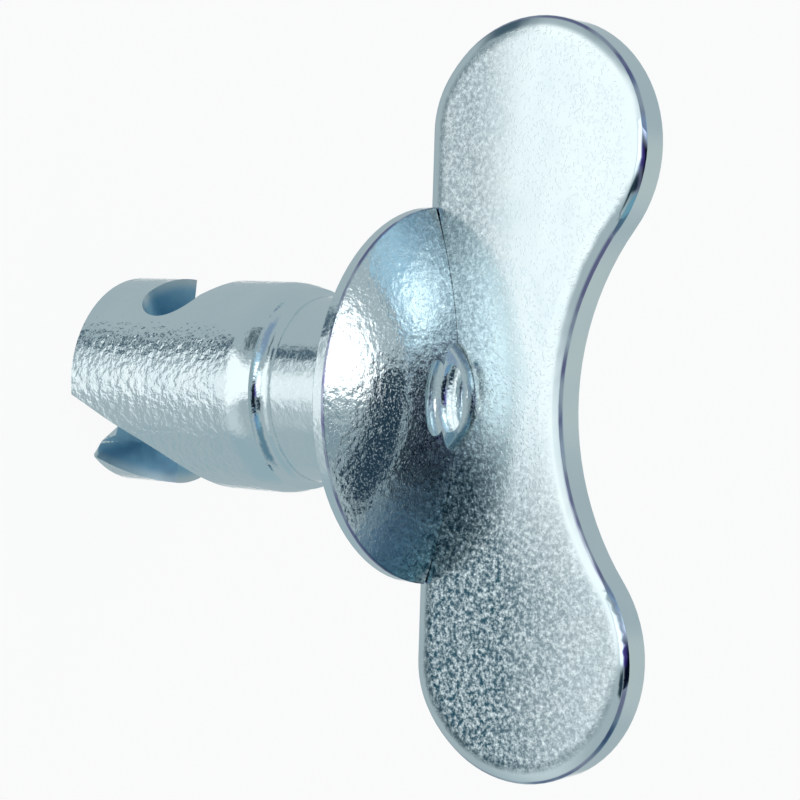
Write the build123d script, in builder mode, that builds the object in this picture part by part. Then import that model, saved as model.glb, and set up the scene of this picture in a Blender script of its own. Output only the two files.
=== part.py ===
"""Wing head quarter-turn stud: a turned steel cam stud with a stamped wing
staked into its slotted head.

The stud stands on its tip with its axis on +Z and the wing along X.  The
origin is the centre of the tip face.  All lengths are millimetres and all
angles are degrees.
"""

import os
from math import asin, atan2, cos, degrees, radians, sin, tan

from build123d import *

# ---------------------------------------------------------------- cam stud --
# shank
body_diameter = 9.525          # 3/8 in body
tip_chamfer = 0.25
crown_start = 9.95             # where the body starts to taper to its shoulder
crown_run = 0.75               # length of the taper
crown_blend = 3.5
shoulder_diameter = 9.04       # sharp edge between the taper and the groove
groove_width = 0.95            # from the shoulder to the neck
groove_pull = 0.35             # from the shoulder to the point that draws the groove in
groove_pull_diameter = 7.96
neck_diameter = 8.30
neck_chamfer = 0.30

# head
flange_height = 17.10          # underside of the flange, above the tip
flange_diameter = 16.20
rim_thickness = 0.65
rim_chamfer = 0.12
dome_rise = 1.50               # from the rim's top edge to the apex

# bore in the tip
bore_diameter = 5.20
bore_depth = 8.20              # to the start of the drill point
drill_point_angle = 118.0

# cam slots: a clearance cut that climbs from the tip and rolls over, a cam
# ramp cut under it, and a round locking pocket a quarter turn on
pocket_diameter = 3.175        # 1/8 in cutter
pocket_angle = 31.0            # about Z
pocket_height = 4.39           # centre, above the tip
entry_angle = -63.5            # about Z, where the clearance cut crosses the tip
entry_slope = 61.0             # its climb
entry_run = 3.50               # length of its straight run along the body
entry_width = 2.90
roll_radius = 4.14             # it then rolls over on this radius
roll_turn = 98.0               # until it points back towards the tip
ramp_angle = -44.9             # about Z, where the ramp's edge crosses the tip
ramp_slope = 43.8              # the ramp's climb
crest_height = 3.05            # where it ends
ramp_width = 2.20
nose_radius = 0.27             # rounding between the ramp and the tip face
nose_height = 0.22             # its centre, above the tip
slot_copies = 2

# ------------------------------------------------------------------- wing --
wing_thickness = 1.60
wing_lobe_radius = 5.42
wing_lobe_spacing = 21.20      # between the centres of the two lobes
wing_lobe_rise = 5.22          # centre of a lobe above the plate's straight edge
wing_waist = 7.00              # height of the plate at the middle
wing_corner_blend = 4.0        # where the straight edge runs into a lobe
wing_roll_width = 0.66         # one face's edge is drawn down by the stamping die
wing_roll_depth = 0.22
wing_roll_blend = 2.00         # where the roll leaves the face
wing_roll_foot = 0.13          # broken edge where it meets the side
wing_edge_chamfer = 0.08       # the sheared edge of the other face
wing_seat_depth = 0.45         # floor of the head slot, below the rim's top edge
wing_clearance = 0.02          # per side, between the plate and the head slot

# staking: a punch mark beside each face of the wing, and the lip it throws up
lip_arch_radius = 3.22         # along the wing
lip_round_radius = 1.00        # out from the wing's face
lip_height = 0.85              # above the dome
punch_arch_radius = 4.00
punch_round_radius = 0.89
punch_depth = 0.50
punch_offset = 1.45            # from the wing's face to the punch's centre line

# ---------------------------------------------------------------- derived --
body_radius = body_diameter / 2
neck_radius = neck_diameter / 2
shoulder_height = crown_start + crown_run
neck_start = shoulder_height + groove_width
flange_radius = flange_diameter / 2
bore_radius = bore_diameter / 2
pocket_radius = pocket_diameter / 2
rim_top = flange_height + rim_thickness
dome_top = rim_top + dome_rise
wing_seat = rim_top - wing_seat_depth
lobe_height = wing_seat + wing_lobe_rise
lobe_offset = wing_lobe_spacing / 2
head_slot_width = wing_thickness + 2 * wing_clearance
slot_face = head_slot_width / 2


def square_to(across, height, climb):
    """Plane square to a cut, at a point of the unrolled body.

    across is the way round from angle zero; the plane's x is radial and its
    y points to the tip side of the cut.
    """
    angle = across / body_radius
    outward = Vector(cos(angle), sin(angle), 0)
    sideways = Vector(-sin(angle), cos(angle), 0)
    travel = sideways * cos(radians(climb)) + Vector(0, 0, sin(radians(climb)))
    centre = outward * (cut_inner + cut_outer) / 2 + Vector(0, 0, height)
    return Plane(centre, x_dir=outward, z_dir=travel)


def entry_path(step):
    """Centre and climb of the clearance cut: 0 at the tip, 1 where it starts
    to roll over, 2 at the locking pocket."""
    run = entry_run * min(step, 1)
    across = radians(entry_angle) * body_radius + run * cos(radians(entry_slope))
    height = run * sin(radians(entry_slope))
    climb = entry_slope - roll_turn * max(step - 1, 0)
    across += roll_radius * (sin(radians(entry_slope)) - sin(radians(climb)))
    height += roll_radius * (cos(radians(climb)) - cos(radians(entry_slope)))
    return across, height, climb


# The cutters reach from just inside the bore to just outside the body.
cut_inner = 0.98 * (bore_radius**2 - pocket_radius**2) ** 0.5
cut_outer = body_radius + pocket_radius
cut_reach = cut_outer - cut_inner

ramp_foot = radians(ramp_angle) * body_radius
crest = ramp_foot + crest_height / tan(radians(ramp_slope))
nose = ramp_foot + nose_height / tan(radians(ramp_slope)) + nose_radius / sin(radians(ramp_slope))
nose_end = (nose_height + nose_radius * cos(radians(ramp_slope))) / crest_height
pocket = radians(pocket_angle) * body_radius
dip = degrees(atan2(pocket_height - pocket_radius - crest_height, pocket - crest))

with BuildPart() as cam_slot:
    # clearance cut
    for step in (-0.7, 0.0, 0.5, 1.0, 1.14, 1.28, 1.43, 1.57, 1.71, 1.86, 2.0):
        with BuildSketch(square_to(*entry_path(step))):
            Rectangle(cut_reach, entry_width)
    loft()
    # rounded nose between the tip face and the cam ramp
    for share in (0.0, 0.2, 0.4, 0.6, 0.8, 1.0):
        turn = 180 - share * (180 - ramp_slope)
        across = nose - nose_radius * sin(radians(turn))
        height = nose_height + nose_radius * cos(radians(turn))
        with BuildSketch(square_to(across, height, turn)):
            Rectangle(cut_reach, ramp_width, align=(Align.CENTER, Align.MAX))
    loft()
    # cam ramp, from the nose to past its crest
    for share in (nose_end, 0.4, 0.7, 1.0, 1.3):
        across = ramp_foot + share * (crest - ramp_foot)
        with BuildSketch(square_to(across, share * crest_height, ramp_slope)):
            Rectangle(cut_reach, ramp_width, align=(Align.CENTER, Align.MAX))
    loft()
    # dip from the crest into the pocket
    for share in (0.0, 0.33, 0.67, 1.0):
        across = crest + share * (pocket - crest)
        height = crest_height + share * (pocket - crest) * tan(radians(dip))
        with BuildSketch(square_to(across, height, dip)):
            Rectangle(cut_reach, ramp_width, align=(Align.CENTER, Align.MAX))
    loft()
    # locking pocket
    aim = Vector(cos(radians(pocket_angle)), sin(radians(pocket_angle)), 0)
    with BuildSketch(Plane((0, 0, pocket_height), z_dir=aim)):
        Circle(pocket_radius)
    extrude(amount=cut_outer)

with BuildPart() as cam_stud:
    # turned body, neck and domed flange
    with BuildSketch(Plane.XZ):
        with BuildLine():
            tip = Polyline((0, 0), (body_radius - tip_chamfer, 0), (body_radius, tip_chamfer))
            flank = FilletPolyline(
                tip @ 1,
                (body_radius, crown_start),
                (shoulder_diameter / 2, shoulder_height),
                radius=crown_blend,
            )
            groove = Bezier(
                flank @ 1,
                (groove_pull_diameter / 2, shoulder_height + groove_pull),
                (neck_radius, neck_start),
            )
            flange = Polyline(
                groove @ 1,
                (neck_radius, flange_height - neck_chamfer),
                (neck_radius + neck_chamfer, flange_height),
                (flange_radius - rim_chamfer, flange_height),
                (flange_radius, flange_height + rim_chamfer),
                (flange_radius, rim_top),
            )
            dome_radius = (flange_radius**2 + dome_rise**2) / (2 * dome_rise)
            RadiusArc(flange @ 1, (0, dome_top), -dome_radius)
            Line((0, dome_top), (0, 0))
        make_face()
    revolve(axis=Axis.Z)

    # bore with its drill point
    with BuildSketch(Plane.XZ):
        with BuildLine():
            point_depth = bore_radius / tan(radians(drill_point_angle / 2))
            Polyline(
                (0, 0),
                (bore_radius, 0),
                (bore_radius, bore_depth),
                (0, bore_depth + point_depth),
                close=True,
            )
        make_face()
    revolve(axis=Axis.Z, mode=Mode.SUBTRACT)

    # cam slots
    with PolarLocations(0, slot_copies):
        add(cam_slot.part, mode=Mode.SUBTRACT)

    # lips raised against the wing, and the punch marks beside them
    lip_seat = dome_top + lip_height - lip_arch_radius
    with Locations((0, slot_face, lip_seat), (0, -slot_face, lip_seat)):
        Torus(lip_arch_radius - lip_round_radius, lip_round_radius, rotation=(90, 0, 0))
    punch_line = slot_face + punch_offset
    punch_seat = dome_top - punch_depth + punch_arch_radius
    with Locations((0, punch_line, punch_seat), (0, -punch_line, punch_seat)):
        Torus(
            punch_arch_radius - punch_round_radius,
            punch_round_radius,
            rotation=(90, 0, 0),
            mode=Mode.SUBTRACT,
        )

    # slot across the head for the wing
    with BuildSketch(Plane.XY.offset(wing_seat)):
        Rectangle(2 * flange_diameter, head_slot_width)
    extrude(amount=wing_seat_depth + dome_rise + 2 * lip_height, mode=Mode.SUBTRACT)

cam_stud.part.label = "cam_stud"

with BuildPart() as wing:
    # dog-bone outline: two round lobes, a straight inner edge and a waist arc
    with BuildSketch(Plane.XZ) as outline:
        with BuildLine():
            waist_drop = wing_waist - wing_lobe_rise
            waist_radius = (lobe_offset**2 + waist_drop**2 - wing_lobe_radius**2) / (
                2 * (wing_lobe_radius - waist_drop)
            )
            waist_centre = wing_seat + wing_waist + waist_radius
            lean = degrees(atan2(waist_centre - lobe_height, lobe_offset))
            toe = degrees(asin(wing_lobe_rise / wing_lobe_radius))
            lobe = CenterArc(
                (lobe_offset, lobe_height), wing_lobe_radius, -toe, 180 - lean + toe
            )
            Line((0, wing_seat), lobe @ 0)
            CenterArc((0, waist_centre), waist_radius, -90, 90 - lean)
            mirror(about=Plane.YZ)
        make_face()
        toes = outline.vertices().group_by(Axis.Y)[0].sort_by(Axis.X)
        fillet((toes[0], toes[-1]), wing_corner_blend)
    extrude(amount=wing_thickness / 2, both=True)
    rolled_face, sheared_face = wing.faces().filter_by(Axis.Y).sort_by(Axis.Y)
    chamfer(sheared_face.edges(), wing_edge_chamfer)
    chamfer(
        rolled_face.edges(), wing_roll_width, wing_roll_depth, reference=rolled_face
    )
    fillet(wing.faces().sort_by(Axis.Y)[0].edges(), wing_roll_blend)
    roll_level = wing_roll_depth - wing_thickness / 2
    roll_foot = wing.edges().filter_by_position(Axis.Y, roll_level - 0.01, roll_level + 0.01)
    chamfer(roll_foot, wing_roll_foot)

wing.part.label = "wing"

os.makedirs("parts", exist_ok=True)
export_step(cam_stud.part, "parts/cam_stud.step")
export_step(wing.part, "parts/wing.step")
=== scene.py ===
"""Wing head quarter-turn stud in bright zinc plate, on a plain pale floor.

Lengths in comments and tables are millimetres; Blender's own are metres.
"""

import math

import bmesh
import bpy
from mathutils import Matrix, Vector


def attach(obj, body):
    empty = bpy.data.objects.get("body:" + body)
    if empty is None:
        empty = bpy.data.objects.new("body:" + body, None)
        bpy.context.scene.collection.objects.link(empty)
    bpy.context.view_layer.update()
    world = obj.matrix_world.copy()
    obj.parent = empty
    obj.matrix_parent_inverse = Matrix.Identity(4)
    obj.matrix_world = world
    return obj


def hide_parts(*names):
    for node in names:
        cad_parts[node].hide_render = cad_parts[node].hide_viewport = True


MM = 0.001
WHITE = (1, 1, 1, 1)
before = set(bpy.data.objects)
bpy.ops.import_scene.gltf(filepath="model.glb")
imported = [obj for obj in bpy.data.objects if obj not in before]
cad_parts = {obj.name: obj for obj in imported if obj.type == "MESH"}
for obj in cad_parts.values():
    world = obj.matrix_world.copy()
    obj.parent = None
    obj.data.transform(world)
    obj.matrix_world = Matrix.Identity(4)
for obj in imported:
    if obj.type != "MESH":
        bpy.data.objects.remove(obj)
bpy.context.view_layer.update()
scene = bpy.context.scene
scene.view_settings.view_transform = "Standard"


def colour(code):
    """Linear colour of an sRGB hex value."""
    parts = [int(code[i : i + 2], 16) / 255 for i in (1, 3, 5)]
    linear = [c / 12.92 if c <= 0.04045 else ((c + 0.055) / 1.055) ** 2.4 for c in parts]
    return (*linear, 1.0)


def add(tree, kind, inputs=None, **settings):
    """Adds a node with its inputs, each a link or a value, and its settings."""
    node = tree.nodes.new(kind)
    for name, value in settings.items():
        setattr(node, name, value)
    for name, value in (inputs or {}).items():
        socket = node.inputs[name]
        if isinstance(value, bpy.types.NodeSocket):
            tree.links.new(value, socket)
        else:
            socket.default_value = value
    return node


def new_material(name):
    """An empty node material and its tree."""
    material = bpy.data.materials.new(name)
    material.use_nodes = True
    material.node_tree.nodes.clear()
    return material, material.node_tree


# ------------------------------------------------------------- materials --


def plain_zinc(tree, place):
    """The near white of the plating, and the slow swell that varies it.

    The swell is 0.42 to the millimetre, so its waves are 2.4 mm long.
    """
    swell = add(
        tree,
        "ShaderNodeTexNoise",
        {"Vector": place, "Scale": 0.42 / MM, "Detail": 2.0, "Roughness": 0.5},
    ).outputs["Fac"]
    tone = add(
        tree,
        "ShaderNodeMix",
        {"Factor": swell, "A": colour("#DDE9EE"), "B": colour("#EDF4F4")},
        data_type="RGBA",
    ).outputs[2]
    return swell, tone


def violet_line(tree, tone, swell, across, sides):
    """Lays over a tone the violet of a thick passivation, in a thin line.

    Each side of the line is two places in mm, measured across it: where it
    is not there yet, and where it is full.  The swell breaks it up.
    """
    shares = [
        add(
            tree,
            "ShaderNodeMapRange",
            {"Value": across, "From Min": none * MM, "From Max": full * MM},
            interpolation_type="SMOOTHSTEP",
        ).outputs["Result"]
        for none, full in sides
    ]
    shares.append(
        add(
            tree,
            "ShaderNodeMapRange",
            {"Value": swell, "From Min": 0.38, "From Max": 0.58, "To Min": 0.2, "To Max": 0.85},
        ).outputs["Result"]
    )
    line = shares[0]
    for share in shares[1:]:
        line = add(tree, "ShaderNodeMath", {0: line, 1: share}, operation="MULTIPLY").outputs[0]
    return add(
        tree,
        "ShaderNodeMix",
        {"Factor": line, "A": tone, "B": colour("#655E98")},
        data_type="RGBA",
    ).outputs[2]


def zinc_on_stamped_plate():
    """Bright zinc plate, blue passivated, on a stamped and tumbled plate.

    Nearly a mirror, but the tumbling leaves a fine orange peel that breaks
    the reflections on the two broad faces into glints: specks 7 to the
    millimetre, so 0.14 mm across.  One lobe has more wear than the other,
    with dimples 4.8 to the millimetre, so 0.2 mm across.  Their pits are
    painted a dark coat, which is partly wear and partly painted reflection:
    it lies heaviest on the lobe at +X and on the faces near the head, which
    mirror grey surroundings and the dark head.  The sheared side is smooth.
    The passivation gathers at the foot of the rolled edge and turns violet
    there.
    """
    material, tree = new_material("zinc_on_stamped_plate")
    place = add(tree, "ShaderNodeTexCoord").outputs["Object"]
    parts = add(tree, "ShaderNodeSeparateXYZ", {"Vector": place}).outputs
    depth = add(tree, "ShaderNodeMath", {0: parts["Y"]}, operation="ABSOLUTE").outputs[0]
    # where each share of the wear and painted reflection begins and ends in mm, and its strength
    # there
    broad, lobe, tip, foot = (
        add(
            tree,
            "ShaderNodeMapRange",
            {
                "Value": value,
                "From Min": begins * MM,
                "From Max": ends * MM,
                "To Min": first,
                "To Max": last,
            },
            interpolation_type="SMOOTHSTEP",
        ).outputs["Result"]
        for value, begins, ends, first, last in (
            (depth, 0.70, 0.79, 0.0, 1.0),
            (parts["X"], -1.0, 8.5, 0.0, 1.0),
            (parts["Z"], 20.5, 27.0, 1.0, 0.5),
            (parts["Z"], 19.2, 22.4, 0.6, 0.0),
        )
    )
    # more on the lobe at +X and near the head: painted reflection of grey surroundings and of the
    # dark head, with wear
    wear_and_painted_reflection = add(
        tree,
        "ShaderNodeMath",
        {0: lobe, 1: tip, 2: foot},
        operation="MULTIPLY_ADD",
        use_clamp=True,
    ).outputs[0]
    wear_and_painted_reflection = add(tree, "ShaderNodeMath", {0: wear_and_painted_reflection, 1: broad}, operation="MULTIPLY").outputs[0]
    grain = add(
        tree,
        "ShaderNodeTexNoise",
        {"Vector": place, "Scale": 7.0 / MM, "Detail": 2.0, "Roughness": 0.6},
    ).outputs["Fac"]
    specks = add(
        tree,
        "ShaderNodeMapRange",
        {"Value": grain, "From Min": 0.46, "From Max": 0.34},
        interpolation_type="SMOOTHSTEP",
    ).outputs["Result"]
    dimples = add(
        tree,
        "ShaderNodeTexNoise",
        {"Vector": place, "Scale": 4.8 / MM, "Detail": 4.0, "Roughness": 0.8},
    ).outputs["Fac"]
    pits = add(
        tree, "ShaderNodeMapRange", {"Value": dimples, "From Min": 0.68, "From Max": 0.42}
    ).outputs["Result"]
    # the pits' dark coat, #244E5E below: partly wear, partly painted reflection
    pit_coat_and_painted_reflection = add(tree, "ShaderNodeMath", {0: pits, 1: wear_and_painted_reflection}, operation="MULTIPLY").outputs[0]
    swell, plain = plain_zinc(tree, place)
    tone = add(
        tree,
        "ShaderNodeMix",
        {"Factor": pit_coat_and_painted_reflection, "A": plain, "B": colour("#244E5E")},
        data_type="RGBA",
    ).outputs[2]
    tone = violet_line(tree, tone, swell, parts["Y"], ((-0.64, -0.60), (-0.46, -0.50)))
    low = add(
        tree, "ShaderNodeBump", {"Height": swell, "Distance": 0.02 * MM, "Strength": 1.0}
    ).outputs["Normal"]
    sunk = add(
        tree,
        "ShaderNodeBump",
        {"Height": dimples, "Normal": low, "Distance": 0.012 * MM, "Strength": wear_and_painted_reflection},
    ).outputs["Normal"]
    bump = add(
        tree,
        "ShaderNodeBump",
        {"Height": specks, "Normal": sunk, "Distance": 0.0035 * MM, "Strength": broad},
    ).outputs["Normal"]
    metal = add(
        tree,
        "ShaderNodeBsdfPrincipled",
        {"Base Color": tone, "Metallic": 1.0, "Roughness": 0.06, "Normal": bump},
    )
    add(tree, "ShaderNodeOutputMaterial", {"Surface": metal.outputs["BSDF"]})
    return material


def zinc_on_turned_stud():
    """Bright zinc plate, blue passivated, on a turned stud.

    Tumbling has hammered the shank's skin, with dents 3 to the millimetre,
    so 0.3 mm across.  The crown and the neck are smoother.  The domed head
    is a near mirror with a fine peel, 11 specks to the millimetre, so
    0.09 mm across.  The passivation gathers on the rim's top edge and turns
    violet there.
    """
    material, tree = new_material("zinc_on_turned_stud")
    place = add(tree, "ShaderNodeTexCoord").outputs["Object"]
    height = add(tree, "ShaderNodeSeparateXYZ", {"Vector": place}).outputs["Z"]
    # the heights in mm that the dents and the peel change between
    shank, head = (
        add(
            tree,
            "ShaderNodeMapRange",
            {
                "Value": height,
                "From Min": lower * MM,
                "From Max": upper * MM,
                "To Min": below,
                "To Max": above,
            },
            interpolation_type="SMOOTHSTEP",
        ).outputs["Result"]
        for lower, upper, below, above in ((8.2, 10.0, 1.0, 0.25), (17.7, 17.9, 0.35, 1.0))
    )
    dents = add(
        tree,
        "ShaderNodeTexNoise",
        {"Vector": place, "Scale": 3.0 / MM, "Detail": 2.0, "Roughness": 0.5},
    ).outputs["Fac"]
    peel = add(
        tree,
        "ShaderNodeTexNoise",
        {"Vector": place, "Scale": 11.0 / MM, "Detail": 2.0, "Roughness": 0.6},
    ).outputs["Fac"]
    specks = add(
        tree,
        "ShaderNodeMapRange",
        {"Value": peel, "From Min": 0.43, "From Max": 0.32},
        interpolation_type="SMOOTHSTEP",
    ).outputs["Result"]
    swell, tone = plain_zinc(tree, place)
    tone = violet_line(tree, tone, swell, height, ((17.62, 17.66), (17.78, 17.75)))
    low = add(
        tree, "ShaderNodeBump", {"Height": dents, "Distance": 0.065 * MM, "Strength": shank}
    ).outputs["Normal"]
    bump = add(
        tree,
        "ShaderNodeBump",
        {"Height": specks, "Normal": low, "Distance": 0.0024 * MM, "Strength": head},
    ).outputs["Normal"]
    metal = add(
        tree,
        "ShaderNodeBsdfPrincipled",
        {"Base Color": tone, "Metallic": 1.0, "Roughness": 0.07, "Normal": bump},
    )
    add(tree, "ShaderNodeOutputMaterial", {"Surface": metal.outputs["BSDF"]})
    return material


def zinc_in_milled_slot():
    """Zinc plate in the milled slots and the drilled bore.

    The plate is thin there and its passivation thicker, so it is a smooth
    blue; the blue that deepens further in is also painted shade of the
    recess.  The mill leaves faint marks, 2.5 to the millimetre, so 0.4 mm
    across.
    """
    material, tree = new_material("zinc_in_milled_slot")
    place = add(tree, "ShaderNodeTexCoord").outputs["Object"]
    parts = add(tree, "ShaderNodeSeparateXYZ", {"Vector": place}).outputs
    flat = add(tree, "ShaderNodeCombineXYZ", {"X": parts["X"], "Y": parts["Y"]}).outputs["Vector"]
    radius = add(tree, "ShaderNodeVectorMath", {0: flat}, operation="LENGTH").outputs["Value"]
    marks = add(
        tree,
        "ShaderNodeTexNoise",
        {"Vector": place, "Scale": 2.5 / MM, "Detail": 2.0, "Roughness": 0.5},
    ).outputs["Fac"]
    blue = add(
        tree,
        "ShaderNodeMix",
        {"Factor": marks, "A": colour("#8CB8D2"), "B": colour("#A2CADC")},
        data_type="RGBA",
    ).outputs[2]
    # passivation and painted shade: blue up to 4.15 mm from the axis, and plain at the slots'
    # outer edges
    passivation_and_recess_shade = add(
        tree,
        "ShaderNodeMapRange",
        {
            "Value": radius,
            "From Min": 4.15 * MM,
            "From Max": 4.70 * MM,
            "To Min": 1.0,
            "To Max": 0.0,
        },
        interpolation_type="SMOOTHSTEP",
    ).outputs["Result"]
    tone = add(
        tree,
        "ShaderNodeMix",
        {"Factor": passivation_and_recess_shade, "A": colour("#D4E0E4"), "B": blue},
        data_type="RGBA",
    ).outputs[2]
    bump = add(
        tree, "ShaderNodeBump", {"Height": marks, "Distance": 0.006 * MM, "Strength": 1.0}
    ).outputs["Normal"]
    metal = add(
        tree,
        "ShaderNodeBsdfPrincipled",
        {"Base Color": tone, "Metallic": 1.0, "Roughness": 0.38, "Normal": bump},
    )
    add(tree, "ShaderNodeOutputMaterial", {"Surface": metal.outputs["BSDF"]})
    return material


# ----------------------------------------------------------------- pieces --

# Forms of the turned and struck stud whose surface is known exactly, in mm.
# A flank is a straight line of the turned profile and a round is an arc of it.
FLANKS = (  # radius and height at each end
    ((4.5125, 0.0), (4.7625, 0.25)),
    ((4.7625, 0.25), (4.7625, 9.3984)),
    ((4.5923, 10.4756), (4.52, 10.70)),
    ((4.15, 11.65), (4.15, 16.80)),
    ((4.15, 16.80), (4.45, 17.10)),
    ((7.98, 17.10), (8.10, 17.22)),
    ((8.10, 17.22), (8.10, 17.75)),
    ((2.60, 8.20), (2.60, 0.0)),
    ((0.0, 9.7622), (2.60, 8.20)),
)
ROUNDS = (  # centre radius, centre height, arc radius, lowest and highest point
    (1.2625, 9.3984, 3.50, 9.3984, 10.4756),
    (0.0, -3.3700, 22.62, 17.75, 19.25),
)
# The groove's wall is a quadratic curve: its start, control point and end.
GROOVE = ((4.52, 10.70), (3.98, 11.05), (4.15, 11.65))
# The staked lips and punch marks are arches: |y| and height of the centre,
# arch radius, section radius, and 1 where raised or -1 where sunk.
RINGS = (
    (0.82, 16.88, 2.22, 1.00, 1),
    (2.27, 22.75, 3.11, 0.89, -1),
)
POCKET = (31.0, 4.39, 1.5875)  # way round in degrees, height, radius
CLOSE = 0.012  # how far off a form's surface a corner on it may be
NEAR_AXIS = 0.01  # nearer than this, the way out from an axis isn't known
SAME_POINT = 0.002  # corners nearer than this are merged
SAME_FORM = 0.965  # cosine of 15 degrees: an exact normal may be that far off a face
RUNS_ON = 0.88  # cosine of 28 degrees: faces that turn less share a normal
OUTWARD = 0.9  # cosine of 26 degrees: a face that looks this nearly outwards
BODY_SKIN = 4.70  # the body's skin is outside this radius
CUT_FROM, CUT_TO = 0.255, 9.8  # heights of the cut walls, above the tip's chamfer


def across_turned(radius, height):
    """Normals in the turned profile's plane of the forms that pass here."""
    found = []
    for (r0, z0), (r1, z1) in FLANKS:
        length = math.hypot(r1 - r0, z1 - z0)
        out = ((z1 - z0) / length, (r0 - r1) / length)
        off = (radius - r0) * out[0] + (height - z0) * out[1]
        if abs(off) < CLOSE and min(z0, z1) - CLOSE < height < max(z0, z1) + CLOSE:
            found.append(out)
    for r0, z0, arc, low, high in ROUNDS:
        way = (radius - r0, height - z0)
        length = math.hypot(*way)
        if abs(length - arc) < CLOSE and low - CLOSE < height < high + CLOSE:
            found.append((way[0] / length, way[1] / length))
    (r0, z0), (r1, z1), (r2, z2) = GROOVE
    if z0 - CLOSE < height < z2 + CLOSE:
        a, b, c = z0 - 2 * z1 + z2, 2 * (z1 - z0), z0 - min(max(height, z0), z2)
        t = (-b + math.sqrt(b * b - 4 * a * c)) / (2 * a)
        if abs((1 - t) ** 2 * r0 + 2 * t * (1 - t) * r1 + t * t * r2 - radius) < CLOSE:
            run = (1 - t) * (r1 - r0) + t * (r2 - r1), (1 - t) * (z1 - z0) + t * (z2 - z1)
            found.append((run[1] / math.hypot(*run), -run[0] / math.hypot(*run)))
    return found


def known_normals(point):
    """Every exact normal that the stud could have at a point, in mm."""
    x, y, z = point
    radius = math.hypot(x, y)
    found = []
    if radius > NEAR_AXIS:
        for outward, upward in across_turned(radius, z):
            found.append(Vector((x / radius * outward, y / radius * outward, upward)))
    for side, height, arch, section, sense in RINGS:
        y0 = math.copysign(side, y)
        reach = math.hypot(x, z - height)
        off = (reach - arch, y - y0)
        if reach > NEAR_AXIS and abs(math.hypot(*off) - section) < CLOSE:
            out = Vector((x / reach * off[0], off[1], (z - height) / reach * off[0]))
            found.append(out.normalized() * sense)
    way_round, height, bore = POCKET
    aim = Vector((math.cos(math.radians(way_round)), math.sin(math.radians(way_round)), 0))
    away = Vector((x, y, z - height))
    away -= away.dot(aim) * aim
    if abs(away.length - bore) < CLOSE:
        found.append(-away.normalized())
    return found


def shading_normals(shape, exact):
    """One normal for each corner of a face.

    It is exact where the form is known, and elsewhere the mean of the faces
    that run on smoothly, each by its area.
    """
    normals = []
    for face in shape.faces:
        for corner in face.loops:
            options = known_normals(corner.vert.co / MM) if exact else ()
            best = max(options, key=face.normal.dot, default=None)
            if best is None or best.dot(face.normal) < SAME_FORM:
                best = Vector()
                for other in corner.vert.link_faces:
                    if other.normal.dot(face.normal) > RUNS_ON:
                        best += other.normal * other.calc_area()
            normals.append(best.normalized())
    return normals


def smooth_copy(node, name, materials, exact=False, inner=None):
    """Puts a merged, smooth shaded copy of a piece in its place.

    Faces for which inner is true get the second material, and exact asks
    for the known normals of the turned and struck forms.
    """
    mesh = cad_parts[node].data.copy()
    mesh.name = name
    mesh.materials.clear()
    for material in materials:
        mesh.materials.append(material)
    shape = bmesh.new()
    shape.from_mesh(mesh)
    bmesh.ops.remove_doubles(shape, verts=shape.verts, dist=SAME_POINT * MM)
    shape.normal_update()
    for face in shape.faces:
        face.smooth = True
        face.material_index = 1 if inner and inner(face) else 0
    normals = shading_normals(shape, exact)
    shape.to_mesh(mesh)
    shape.free()
    mesh.normals_split_custom_set(normals)
    piece = bpy.data.objects.new(name, mesh)
    scene.collection.objects.link(piece)
    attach(piece, "root")
    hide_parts(node)


def cut_by_the_mill(face):
    """True for the walls of the cam slots and the bore."""
    middle = face.calc_center_median() / MM
    outward = Vector((middle.x, middle.y, 0)).normalized()
    reach = math.hypot(middle.x, middle.y)
    on_body = reach > BODY_SKIN and face.normal.dot(outward) > OUTWARD
    return CUT_FROM < middle.z < CUT_TO and not on_body


smooth_copy(
    "cam_stud",
    "plated_stud",
    (zinc_on_turned_stud(), zinc_in_milled_slot()),
    exact=True,
    inner=cut_by_the_mill,
)
smooth_copy("wing", "plated_wing", (zinc_on_stamped_plate(),))

# ------------------------------------------------------------------ studio --


# name, centre round, half width, centre up, half height, softness of the
# edges, narrowing per degree up, colour, level; angles in degrees
PANELS = (
    ("grey wall right", -8, 34, -20, 18, 8, 0, "#A0B5BD", 1.0),
    ("slate wall right", -24, 26, 31, 15, 8, 0, "#658697", 1.0),
    ("blue wall left", -148, 22, 29, 16, 8, 0, "#899EB5", 1.0),
    ("dark patch left", -138, 12, -10, 5, 5, 0, "#59696F", 1.0),
    ("slate ceiling left", -120, 30, 68, 9, 8, 0, "#95A6B8", 1.0),
    ("dark gap high", -77, 20, 49, 12, 5, 0, "#121F2D", 1.0),
    ("blue wall high right", -50, 10, 41, 9, 5, 0, "#7399BC", 1.0),
    ("teal wall right", -52, 10, 30, 5, 4, 0, "#7CB1BF", 1.0),
    ("dark gap in front", -74, 8, 20, 13, 5, 0, "#273C48", 1.0),
    ("pale wall right", -56, 14, -26, 12, 8, 0, "#CEDADD", 1.0),
    ("violet edge", -88, 7, 36, 8, 4, 0, "#6155A2", 1.0),
    ("white card", -97, 22, -17, 20, 6, 0.5, "#F8FEFF", 1.18),
    ("dark edge of the card", -134, 8, -43, 7, 5, 0, "#4B616F", 1.0),
    ("pale wall behind", 77, 22, 27, 12, 8, 0, "#BCC7C8", 1.0),
    ("white card near", -92, 17, -43, 5, 8, 0, "#F8FEFF", 1.19),
    ("white panel front", -95, 12, 19, 13, 6, 0, "#EFFBFF", 1.5),
    ("pale blue panel high", -119, 15, 46, 13, 7, 0, "#B3D7ED", 1.0),
    ("white panel high", -111, 7, 45, 8, 5, 0, "#EFFAFF", 2.2),
    ("white panel overhead", 112, 26, 77, 10, 4, 0, "#FFFFFF", 2.2),
    ("dark gap behind", 70, 28, 61, 8, 5, 0, "#273C4B", 1.0),
    ("grey gap behind low", 50, 14, 76, 6, 5, 0, "#869BA4", 1.0),
    ("white behind the object", 87, 18, -36, 18, 6, 0, "#FFFFFF", 1.0),
)


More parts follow.
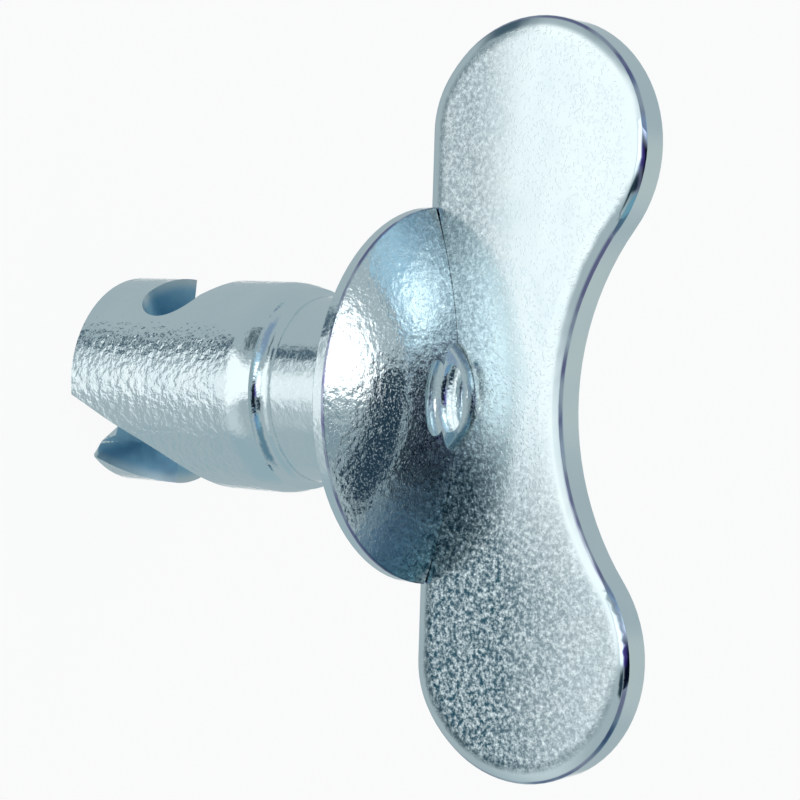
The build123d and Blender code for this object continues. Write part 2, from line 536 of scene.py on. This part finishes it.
def studio_surroundings():
    """A grey tent with soft panels, walls and dark gaps all round.

    The metal mirrors it, and one white panel lies straight behind the
    object.  The camera itself sees plain white.
    """
    world = bpy.data.worlds.new("studio")
    scene.world = world
    world.use_nodes = True
    tree = world.node_tree
    tree.nodes.clear()
    way = add(tree, "ShaderNodeTexCoord").outputs["Generated"]
    parts = add(tree, "ShaderNodeSeparateXYZ", {"Vector": way}).outputs
    azimuth = add(
        tree, "ShaderNodeMath", {0: parts["Y"], 1: parts["X"]}, operation="ARCTAN2"
    ).outputs[0]
    elevation = add(tree, "ShaderNodeMath", {0: parts["Z"]}, operation="ARCSINE").outputs[0]
    light = colour("#ACBABF")
    for name, way_round, half_width, way_up, half_height, soft, narrowing, tint, level in PANELS:
        above = add(
            tree,
            "ShaderNodeMath",
            {0: elevation, 1: math.radians(way_up)},
            operation="SUBTRACT",
        ).outputs[0]
        beside = add(
            tree,
            "ShaderNodeMath",
            {0: azimuth, 1: math.radians(way_round)},
            operation="SUBTRACT",
        ).outputs[0]
        beside = add(tree, "ShaderNodeMath", {0: beside}, operation="ABSOLUTE").outputs[0]
        beside = add(
            tree, "ShaderNodeMath", {0: above, 1: narrowing, 2: beside}, operation="MULTIPLY_ADD"
        ).outputs[0]
        above = add(tree, "ShaderNodeMath", {0: above}, operation="ABSOLUTE").outputs[0]
        across, up = (
            add(
                tree,
                "ShaderNodeMapRange",
                {
                    "Value": off,
                    "From Min": math.radians(half - soft),
                    "From Max": math.radians(half + soft),
                    "To Min": 1.0,
                    "To Max": 0.0,
                },
                interpolation_type="SMOOTHSTEP",
            ).outputs["Result"]
            for off, half in ((beside, half_width), (above, half_height))
        )
        window = add(tree, "ShaderNodeMath", {0: across, 1: up}, operation="MULTIPLY").outputs[0]
        shade = tuple(level * c for c in colour(tint)[:3]) + (1.0,)
        light = add(
            tree,
            "ShaderNodeMix",
            {"Factor": window, "A": light, "B": shade},
            data_type="RGBA",
            label=name,
        ).outputs[2]
    around = add(tree, "ShaderNodeBackground", {"Color": light, "Strength": 1.0})
    plain = add(tree, "ShaderNodeBackground", {"Color": WHITE, "Strength": 1.0})
    seen = add(tree, "ShaderNodeLightPath").outputs["Is Camera Ray"]
    both = add(tree, "ShaderNodeMixShader", {0: seen, 1: around.outputs[0], 2: plain.outputs[0]})
    add(tree, "ShaderNodeOutputWorld", {"Surface": both.outputs[0]})


def pale_floor():
    """Plain white floor, 3 m square.

    The camera sees it almost white, with a soft shadow.  It gives way to
    the studio in reflections.
    """
    half_side = 1.5
    own_white = 0.93  # share of its look that is plain white, whatever the light
    shape = bmesh.new()
    bmesh.ops.create_grid(shape, x_segments=1, y_segments=1, size=half_side)
    mesh = bpy.data.meshes.new("floor")
    shape.to_mesh(mesh)
    shape.free()
    material, tree = new_material("pale_floor")
    path = add(tree, "ShaderNodeLightPath").outputs
    matt = add(tree, "ShaderNodeBsdfDiffuse", {"Color": colour("#F2F4F4")})
    glow = add(tree, "ShaderNodeEmission", {"Color": WHITE, "Strength": 1.0})
    share = add(
        tree, "ShaderNodeMath", {0: path["Is Camera Ray"], 1: own_white}, operation="MULTIPLY"
    ).outputs[0]
    face = add(tree, "ShaderNodeMixShader", {0: share, 1: matt.outputs[0], 2: glow.outputs[0]})
    clear = add(tree, "ShaderNodeBsdfTransparent")
    through = add(
        tree,
        "ShaderNodeMath",
        {0: path["Is Glossy Ray"], 1: path["Is Transmission Ray"]},
        operation="MAXIMUM",
    ).outputs[0]
    both = add(tree, "ShaderNodeMixShader", {0: through, 1: face.outputs[0], 2: clear.outputs[0]})
    add(tree, "ShaderNodeOutputMaterial", {"Surface": both.outputs[0]})
    mesh.materials.append(material)
    floor = bpy.data.objects.new("floor", mesh)
    scene.collection.objects.link(floor)


def camera():
    """Looks down on the head from in front, 104 mm from it, through a long lens."""
    lens = bpy.data.cameras.new("camera")
    eye = bpy.data.objects.new("camera", lens)
    scene.collection.objects.link(eye)
    lens.sensor_width = 36
    lens.lens = 108.592
    lens.clip_start = 0.005
    lens.clip_end = 20
    # columns: the camera's right, its up, and the way back from what it sees
    turn = Matrix(
        (
            (-0.03050766, -0.99875236, -0.0395348),
            (0.60194878, 0.01321802, -0.79842529),
            (0.79795172, -0.04815601, 0.60079452),
        )
    )
    place = Vector((-3.8769, -83.9046, 78.679)) * MM
    eye.matrix_world = Matrix.Translation(place) @ turn.to_4x4()
    scene.camera = eye


studio_surroundings()
pale_floor()
camera()
